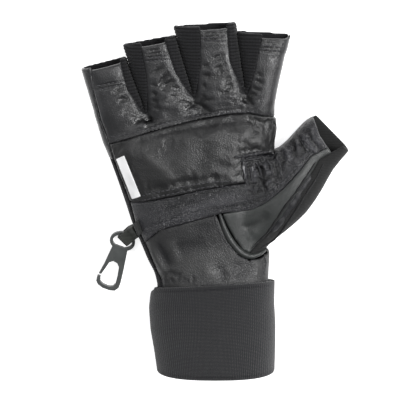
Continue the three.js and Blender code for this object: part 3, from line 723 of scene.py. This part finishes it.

# Painted highlight: thin leather rolls in a near-white tone stand for glints on the sharpest folds.
fold_highlight_leather = leather(
    "painted_highlight_fold_leather", (0.01, 0.01, 0.011), (0.34, 0.34, 0.35), 0.35, 0.0009, 1.4, 0.0005
)
fold_highlight_lines = [
    # radius, line
    (0.0006, [(243, 164), (244, 169), (245, 175)]),
    (0.0003, [(251, 166), (253, 169), (252, 173)]),
]
rolls("painted_highlight_fold_edges", fold_highlight_lines, folded, fold_highlight_leather, "leather", sink=-0.6, unevenness=0.4)

# Heel leather. A plain thinner piece over the heel of the hand that runs down inside the wrist wrap,
# with soft hollows where it bends over the base of the hand.
heel_leather_look = leather(
    "black_heel_leather", (0.008, 0.008, 0.009), (0.03, 0.03, 0.03), 0.44, 0.0013, 0.35, 0.0004
)
heel_creases = [
    (1.4, -0.4, [(146, 237), (170, 227), (200, 217), (218, 214)]),
    (5, -0.7, [(160, 262), (180, 250), (205, 240)]),
    (6, 0.5, [(170, 275), (200, 262), (225, 258)]),
    (5, -0.9, [(232, 276), (242, 268), (252, 264)]),
    (1.1, -0.5, [(262, 256), (263, 265), (262, 276)]),
    (4, -0.5, [(190, 232), (204, 228), (214, 232)]),
    (2.2, 1.0, [(150, 240), (154, 254), (161, 267), (171, 279)]),
    (2.4, -0.9, [(158, 240), (163, 255), (171, 268)]),
    (3, 0.7, [(170, 240), (174, 254), (180, 264)]),
    (1.5, -0.8, [(160, 277), (170, 273), (180, 276)]),
    (1.3, 0.6, [(255, 258), (257, 266), (256, 277)]),
    (3.5, 0.6, [(203, 262), (207, 270), (210, 280)]),
    (3, -0.8, [(218, 266), (222, 273), (226, 281)]),
    (1.0, 0.5, lowered(strap_low_seam, 2.4)),
]
heel_gathers = [((164, 284), (192, 285), 245, 290, 7, 11)]
heel_creases += gathered(heel_gathers, width=1.0, height=-0.6, seed=6)
heel_leather = panel("heel_leather", "heel_panel", mesh_size=0.0008, rounds=30)
emboss(
    heel_leather,
    crease_relief(heel_leather, heel_creases)
    + crumple_relief(heel_leather, size=0.018, height=0.00014, stretch=(1.8, 1, 1), seed=3),
)
dress(heel_leather, heel_leather_look, "leather", "heel_panel")

# Thumb front. A smooth dark grey coated panel over the ball of the thumb, framed by a rolled leather
# binding where it meets the heel.
smooth_leather = leather(
    "smooth_grey_leather", (0.013, 0.0145, 0.014), (0.04, 0.0435, 0.042), 0.38, 0.0008, 0.15, 0.0002
)
front_creases = [
    (3, -0.6, [(255, 232), (262, 222), (268, 212)]),
    (3, 0.5, [(248, 240), (256, 230), (262, 218)]),
    (1.4, -0.4, [(256, 206), (275, 198), (292, 180), (306, 164)]),
    (2, -0.4, [(240, 226), (250, 226), (262, 220)]),
]
thumb_front = panel("thumb_front", "thumb_panel", rounds=25)
emboss(thumb_front, crease_relief(thumb_front, front_creases))
dress(thumb_front, smooth_leather, "smooth_leather", "thumb_panel")

binding_line = [(219, 212), (224, 227), (231, 241), (240, 251.5), (250, 256.5), (260, 254.5), (269, 249)]
binding_rows = [(0.0021, binding_line)]
binding = rolls(
    "thumb_binding", binding_rows, solids, smooth_leather, "smooth_leather", sink=0.9, unevenness=0.02
)
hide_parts("thumb_piping")

# Welts. The strap's lower edge is turned over a fine cord, and a dark flat welt covers the seam of the
# thumb front and the thumb's outer side, between two cords coloured near black as painted shade of the
# seams.
strap_edge_line = [
    (222, 211), (236, 211), (250, 209), (262, 203.5), (272, 196.5), (282, 187.5), (292, 177), (302, 166),
    (310, 156),
]
strap_rows = [(0.0006, strap_edge_line)]
welt_rows = [(0.0027, [(321, 159), (311, 177), (300, 193), (287, 213), (271, 234), (254, 249)])]
welt_shade_cords = [
    # radius, line
    (0.0008, [(316, 161), (309, 172), (297, 190.5), (284, 208), (270, 229), (259, 241), (250, 249)]),
    (0.0007, [(324, 162), (315, 180), (305, 195), (291, 217), (274, 239), (258, 250)]),
]
rolls("strap_edge", strap_rows, solids, thumb_leather_look, "thumb_leather", unevenness=0.08)
welt_leather = leather(
    "dark_welt_leather", (0.005, 0.005, 0.006), (0.02, 0.02, 0.024), 0.5, 0.0009, 0.5, 0.0003
)
rolls("thumb_seam_welt", welt_rows, solids, welt_leather, "leather", sink=0.75, unevenness=0.06)
# Painted shade: the cords beside the welt are coloured almost black for the shade in the seams.
shaded_cord_leather = leather(
    "painted_shade_cord", (0.0008, 0.0008, 0.001), (0.004, 0.004, 0.005), 0.7, 0.0009, 0.5, 0.0002, relief_shading=0.0
)
rolls("thumb_welt_shade_cords", welt_shade_cords, solids, shaded_cord_leather, "leather", sink=-0.2)

# Little finger's side. A narrow strip of the finger leather turned round to the back, with a straight
# seam against the palm side.
side_strip = panel("little_finger_side", "little_side_strip", rounds=12)
emboss(side_strip, crumple_relief(side_strip, size=0.008, height=0.00012, seed=5))
dress(side_strip, finger_leather_look, "leather", "little_side_strip")

# Knit walls between the fingers. Narrow gussets of a dense stretch knit whose ribs run across the
# finger, black and quite matt.


def knit_group():
    """Ribs and stitch columns of a knit. It puts out a height for bump and a share of tone."""
    group, start, end = group_of(
        "ribbed_knit", {"Rib": 0.0018, "Column": 0.0009, "Columns": 0.3}, ["Height", "Tone"]
    )
    place = wire(group, "TexCoord").outputs["Object"]
    axes = wire(group, "SeparateXYZ", place).outputs
    wander = noise_share(group, place, 180)

    def rows(axis, size, drift):
        turns = worked_out(group, "DIVIDE", axis, start.outputs[size])
        drifted = worked_out(group, "MULTIPLY_ADD", wander, drift, turns)
        angle = worked_out(group, "MULTIPLY", drifted, 2 * math.pi)
        return worked_out(group, "MULTIPLY_ADD", worked_out(group, "SINE", angle), 0.5, 0.5)

    ribs = rows(axes["Y"], "Rib", drift=0.35)
    columns = rows(axes["X"], "Column", drift=0.5)
    both = worked_out(group, "MULTIPLY_ADD", columns, start.outputs["Columns"], ribs)
    fuzz, fuzz_height = noise_share(group, place, 3200), 0.4
    height = worked_out(group, "MULTIPLY_ADD", fuzz, fuzz_height, both)
    group.links.new(height, end.inputs["Height"])
    group.links.new(mapped(group, height, 0.1, 1.5, 0.0, 1.0), end.inputs["Tone"])
    return group


ribbed_knit = knit_group()


def knit(name, dark, light, rib, column, columns, depth):
    """A matt knit material: its two tones, the sizes of its ribs and columns, how much the columns
    show, and its depth."""
    material, tree, shader, tone = two_toned(name, dark, light)
    stitches = tree.nodes.new("ShaderNodeGroup")
    stitches.node_tree = ribbed_knit
    stitches.inputs["Rib"].default_value = rib
    stitches.inputs["Column"].default_value = column
    stitches.inputs["Columns"].default_value = columns
    tree.links.new(stitches.outputs["Tone"], tone)
    shader.inputs["Roughness"].default_value = 0.9
    shader.inputs["Specular IOR Level"].default_value = 0.25
    shader.inputs["Sheen Weight"].default_value = 0.08
    bumped(tree, shader, stitches.outputs["Height"], depth)
    return material


gusset_knit = knit(
    "ribbed_black_knit", (0.002, 0.002, 0.0025), (0.016, 0.016, 0.018), 0.0019, 0.0009, 0.2, 0.0005
)
rib_pitch = 0.0019
rib_depth = 0.00022
for number, node in enumerate(
    ["fourchette_little_ring", "fourchette_ring_middle", "fourchette_middle_index"], start=1
):
    gusset = panel(f"knit_gusset_{number}", node, mesh_size=0.0005, rounds=20, press=0.0007)
    ribs = np.cos(2 * math.pi * points_of(gusset)[:, 1] / rib_pitch)
    emboss(gusset, rib_depth * ribs * flatness(gusset))
    dress(gusset, gusset_knit, "ribbed_knit", node)

# Back of the hand and the thumb's outer side. Smooth stretch knits that the leather is sewn to. The
# back shows along the little finger's side as a dark narrow edge and lies flat on the table.
back_knit = knit(
    "stretch_back_knit", (0.003, 0.003, 0.0035), (0.014, 0.014, 0.0155), 0.0011, 0.0008, 0.8, 0.0002
)
outer_knit = knit(
    "thumb_side_knit", (0.006, 0.006, 0.006), (0.021, 0.021, 0.021), 0.001, 0.0007, 0.8, 0.0001
)
for name, node, size, look in [
    ("knit_back", "back_panel", 0.0009, back_knit),
    ("thumb_outer_side", "thumb_back", 0.0006, outer_knit),
]:
    dress(panel(name, node, size, rounds=25), look, "stretch_knit", node)

# Wrist wrap. A long band of woven elastic, sewn in at the thumb's side of the wrist and wound nearly
# twice round over its own start; its end is held under the wrist by a hook-and-loop patch.
wrap_low, wrap_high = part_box("wrist_wrap")
wrap_axis = Vector(((wrap_low.x + wrap_high.x) / 2, 0, (wrap_low.z + wrap_high.z) / 2))
band_width = 0.061
band_thickness = 0.0015
band_start = math.radians(-38)  # from +X towards +Z, at the back's corner on the thumb's side
band_turns = 1.82
band_rows = 26
band_steps = 190
rim_height = 0.052  # of the band's upper edge over its lower one, at the floor on the arm's middle
rim_rake = 0.25  # how far it slants forward towards the palm, for each unit of height
rim_skew = 0.06  # how far it rises towards the thumb, for each unit across
wrap_wall = surface_of([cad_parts["wrist_wrap"]])
past_wall = 0.00002  # how far beyond a wall the ray starts again


def wrap_hits(y, angle):
    """Distances from the wrap's axis to its walls, in one direction at one place along the arm."""
    start = Vector((wrap_axis.x, y, wrap_axis.z))
    ray = Vector((math.cos(angle), 0, math.sin(angle)))
    found, travelled = [], 0.0
    while True:
        hit = wrap_wall.ray_cast(start + ray * travelled, ray)
        if hit[0] is None:
            return found
        travelled += hit[3] + past_wall
        found.append(travelled)


def wrap_radius(y, angle, layer):
    """Distance from the axis to the middle of a layer of the band."""
    walls = wrap_hits(y, angle)
    pairs = [(walls[k] + walls[k + 1]) / 2 for k in range(0, len(walls) - 1, 2)]
    if not pairs:
        return None
    return pairs[min(layer, len(pairs) - 1)]


bpy.ops.object.select_all(action="DESELECT")
bpy.ops.mesh.primitive_grid_add(
    x_subdivisions=band_steps, y_subdivisions=band_rows, size=1, calc_uvs=True
)
elastic_band = bpy.context.object
elastic_band.name = "elastic_wrist_band"
grid = points_of(elastic_band)
radii = np.zeros((band_steps + 1, band_rows + 1))
heights = np.zeros((band_steps + 1, band_rows + 1))
inset = 0.0004  # of the band's edges from the solid's, for their rounding
for step in range(band_steps + 1):
    angle = band_start + 2 * math.pi * band_turns * step / band_steps
    layer = 0 if step / band_steps * band_turns < 1 else 1
    for row in range(band_rows + 1):
        share = row / band_rows
        radius = 0.02  # a first guess, since the rim leans with the height
        for _ in range(2):
            x = wrap_axis.x + radius * math.cos(angle)
            z = wrap_axis.z + radius * math.sin(angle)
            rim = wrap_low.y + rim_height + rim_rake * z + rim_skew * x
            y = wrap_low.y + inset + share * (rim - inset - wrap_low.y - inset)
            radius = wrap_radius(y, angle, layer) or radius
        radii[step, row] = radius
        heights[step, row] = y
smoothing = np.array([1, 2, 3, 2, 1]) / 9
for row in range(band_rows + 1):
    ends = np.concatenate([radii[:1, row].repeat(2), radii[:, row], radii[-1:, row].repeat(2)])
    radii[:, row] = np.convolve(ends, smoothing, "valid")
places = np.empty_like(grid)
for index, (u, v, _) in enumerate(grid):
    step = round((u + 0.5) * band_steps)
    row = round((v + 0.5) * band_rows)
    angle = band_start + 2 * math.pi * band_turns * step / band_steps
    places[index] = (
        wrap_axis.x + radii[step, row] * math.cos(angle),
        heights[step, row],
        max(band_thickness / 2, wrap_axis.z + radii[step, row] * math.sin(angle)),
    )
move_points(elastic_band, places)
middle_row = places[np.abs(grid[:, 1]) < 0.5 / band_rows]
band_length = float(np.linalg.norm(np.diff(middle_row, axis=0), axis=1).sum())
for loop_uv in elastic_band.data.uv_layers.active.data:
    loop_uv.uv = (loop_uv.uv[0] * band_length, loop_uv.uv[1] * band_width)
apply_modifier(elastic_band, "SUBSURF", levels=1, render_levels=1)
apply_modifier(elastic_band, "SOLIDIFY", thickness=band_thickness, offset=0)
apply_modifier(elastic_band, "BEVEL", width=0.0004, segments=2, limit_method="ANGLE")


def elastic_look():
    """Woven elastic: close cross ribs of weft with fine warp lines between them, quite matt, and a
    painted shade line for a groove inside each selvedge."""
    material, tree, shader, tone = two_toned(
        "woven_black_elastic", (0.006, 0.006, 0.008), (0.027, 0.0275, 0.0295)
    )
    warp_pitch, weft_pitch = 0.0012, 0.0009
    selvedge_width = 0.0022
    groove_core, groove_edge = 0.0004, 0.0011  # from the groove's middle line
    axes = wire(tree, "SeparateXYZ", wire(tree, "TexCoord").outputs["UV"]).outputs
    warp_angle = worked_out(tree, "MULTIPLY", axes["X"], 2 * math.pi / warp_pitch)
    weft_angle = worked_out(tree, "MULTIPLY", axes["Y"], 2 * math.pi / weft_pitch)
    warp, weft = (worked_out(tree, "SINE", angle) for angle in (warp_angle, weft_angle))
    checker = worked_out(tree, "MULTIPLY", warp, weft)
    weave = worked_out(tree, "MULTIPLY_ADD", weft, 0.5, checker)
    lint = noise_share(tree, wire(tree, "TexCoord").outputs["Object"], 1500)
    fuzzy = worked_out(tree, "MULTIPLY_ADD", lint, 1.4, weave)
    # Painted shade: the tone falls to the dark one along a line inside each selvedge, for a groove that
    # is not in the bump.
    off_middle = worked_out(tree, "SUBTRACT", axes["Y"], band_width / 2)
    outwards = worked_out(tree, "ABSOLUTE", off_middle)
    off_groove = worked_out(tree, "SUBTRACT", outwards, band_width / 2 - selvedge_width)
    beside = worked_out(tree, "ABSOLUTE", off_groove)
    clear = mapped(tree, beside, groove_core, groove_edge, 0.0, 1.0)
    plain = mapped(tree, fuzzy, -1.0, 2.4, 0.0, 1.0)
    tree.links.new(worked_out(tree, "MULTIPLY", plain, clear), tone)
    shader.inputs["Roughness"].default_value = 0.85
    shader.inputs["Specular IOR Level"].default_value = 0.3
    shader.inputs["Sheen Weight"].default_value = 0.22
    bumped(tree, shader, fuzzy, 0.00018)
    return material


dress(elastic_band, elastic_look(), "elastic", "wrist_wrap")

patch = panel("hook_and_loop_patch", "wrap_closure", mesh_size=0.0004, rounds=6)
dress(patch, back_knit, "elastic", "wrap_closure")

# Side label. A blank white woven tape, folded once and caught in the side seam, lying on the pad.
label_corners = [(115.5, 158.5), (124.5, 154.5), (132, 199.5), (141.5, 196.5)]
label_thickness = 0.0004
strip_lift = 0.0004  # of a strip's underside over the surface that it lies on
strip_bevel = 0.00012


def laid_strip(name, corners, columns, rows, surface, thickness):
    """A thin strip that lies on a surface. Its corners, upper left and right and then lower left and
    right, are in pixels of the picture."""
    bpy.ops.object.select_all(action="DESELECT")
    bpy.ops.mesh.primitive_grid_add(x_subdivisions=columns, y_subdivisions=rows, size=1)
    strip = bpy.context.object
    strip.name = name
    top_left, top_right, low_left, low_right = (np.array(corner, float) for corner in corners)
    laid = []
    for u, v, _ in points_of(strip):
        across, along = u + 0.5, 0.5 - v
        upper = top_left + (top_right - top_left) * across
        lower = low_left + (low_right - low_left) * across
        under = seen(*(upper + (lower - upper) * along), surface=surface)
        laid.append([under.x, under.y, under.z + strip_lift])
    move_points(strip, np.array(laid))
    apply_modifier(strip, "SMOOTH", factor=0.5, iterations=6)
    apply_modifier(strip, "SOLIDIFY", thickness=thickness, offset=1)
    apply_modifier(strip, "BEVEL", width=strip_bevel, segments=2, limit_method="ANGLE")
    return strip


ground = surface_of([palm_padding, thumb_leather, heel_leather])
label = laid_strip(
    "blank_side_label", label_corners, columns=8, rows=30, surface=ground, thickness=label_thickness
)
tape = knit("white_label_tape", (0.8, 0.8, 0.8), (0.93, 0.93, 0.93), 0.0005, 0.0004, 0.8, 0.00004)
dress(label, tape, "label_tape", "side_label")

# Snap hook and its loop. The hook and its ring are one satin dark grey moulding. A doubled strip of
# narrow elastic holds the ring, and its end is sewn down flat over the side seam, coloured darker as
# painted shade.
hook = bare_copy("moulded_snap_hook", "snap_clip")
apply_modifier(
    hook, "BEVEL", width=0.0006, segments=3, limit_method="ANGLE", angle_limit=math.radians(35)
)


def plastic_look():
    """Satin dark grey moulded plastic with a faint orange peel and duller patches."""
    material, tree, shader, tone = two_toned(
        "dark_grey_moulding", (0.05, 0.054, 0.053), (0.085, 0.09, 0.088)
    )
    place = wire(tree, "TexCoord").outputs["Object"]
    mottle = noise_share(tree, place, 220, detail=4)
    tree.links.new(mottle, tone)
    tree.links.new(mapped(tree, mottle, 0.3, 0.7, 0.32, 0.45), shader.inputs["Roughness"])
    bumped(tree, shader, noise_share(tree, place, 1800), 0.00003)
    return material


dress(hook, plastic_look(), "moulded_plastic", "snap_clip")
bpy.ops.object.shade_smooth_by_angle(angle=math.radians(35))

loop_tab = panel("elastic_loop_tab", "clip_tab", mesh_size=0.0003, rounds=8)
loop_webbing = knit(
    "narrow_black_elastic", (0.014, 0.015, 0.013), (0.075, 0.079, 0.07), 0.0009, 0.0007, 0.6, 0.0002
)
dress(loop_tab, loop_webbing, "elastic", "clip_tab")
sewn_end_corners = [(132.5, 224), (138.2, 219), (137.8, 236), (143.3, 233)]
glove_side = surface_of([thumb_leather, heel_leather, palm_padding, bpy.data.objects["knit_back"]])
sewn_end = laid_strip(
    "loop_tab_end", sewn_end_corners, columns=8, rows=12, surface=glove_side, thickness=0.0009
)
# Painted shade: the tab's sewn end gets darker tones than the tab for the shadow it lies in.
shaded_flat_webbing = knit(
    "flat_black_elastic_painted_shade", (0.006, 0.006, 0.006), (0.03, 0.031, 0.03), 0.0009, 0.0007, 0.6, 0.0002
)
one_piece("loop_tab_end", [sewn_end], shaded_flat_webbing)

# Stitching. Bonded black thread in lockstitch rows along the seams and hems, each stitch a tapered
# bead half sunk into the leather.
thread = leather(
    "black_thread", (0.012, 0.012, 0.014), (0.06, 0.06, 0.065), 0.45, 0.0003, 0.2, 0.0001, relief_shading=0.0
)
stitch_length = 0.0026
stitch_pitch = 0.0031
stitch_width = 0.0009
sewn = surface_of([palm_padding, finger_leather, thumb_leather, heel_leather, thumb_front, side_strip])
seams = {
    "knuckle": [lowered(knuckle_seam, -2.4)],
    "strap_upper": [lowered(strap_top_seam, -2.4), lowered(strap_top_seam, 2.4)],
    "strap_lower": [
        lowered(strap_low_seam, -2.4) + [(250, 206), (273, 191.5), (290, 174), (309, 153)],
        lowered(strap_low_seam[:3], 2.4),
    ],
    "binding": [[(214, 214), (217, 226), (222.5, 237), (231, 248), (242, 257), (255, 259.5)]],
    "little_hem": [
        [(96, 86), (110, 83.5), (124, 80.5)],
        [(98, 89.5), (112, 87), (127, 84)],
    ],
    "ring_hem": [[(145, 58), (157, 57), (168, 55)], [(145, 61.5), (157, 60.5), (169, 58.5)]],
    "middle_hem": [[(201, 38), (213, 37.5), (225, 37)], [(201, 41.5), (213, 41), (226, 41)]],
    "index_hem": [[(261, 45), (270, 46), (279, 46.5)], [(261, 49), (270, 50.5), (279, 52)]],
    "thumb_hem": [[(300, 128), (306, 141), (315, 152)], [(297, 131), (303, 144), (311, 155)]],
    "wrist_side": [[(265, 254), (266, 263), (264, 274)]],
}


def sew(name, lines):
    """One piece of all the stitches along some lines of the picture."""
    bpy.ops.object.select_all(action="DESELECT")
    bpy.ops.mesh.primitive_uv_sphere_add(segments=8, ring_count=5, radius=0.5)
    pattern = bpy.context.object
    shape = points_of(pattern)
    stitches = []
    for line in lines:
        path = smooth_path([seen(x, y) for x, y in line], stitch_pitch)
        for a, b in zip(path, path[1:]):
            middle, normal = sewn.find_nearest(Vector((a + b) / 2))[:2]
            if normal.z < 0:
                normal = -normal
            along = (Vector(b) - Vector(a)).normalized()
            sideways = normal.cross(along).normalized()
            stitch = bpy.data.objects.new(name, pattern.data.copy())
            bpy.context.collection.objects.link(stitch)
            axes = np.array([along * stitch_length, sideways * stitch_width, normal * stitch_width])
            move_points(stitch, shape @ axes + np.array(middle))
            stitches.append(stitch)
    bpy.data.objects.remove(pattern)
    one_piece(name, stitches, thread)


for seam_name, seam_lines in seams.items():
    sew(f"{seam_name}_stitches", seam_lines)
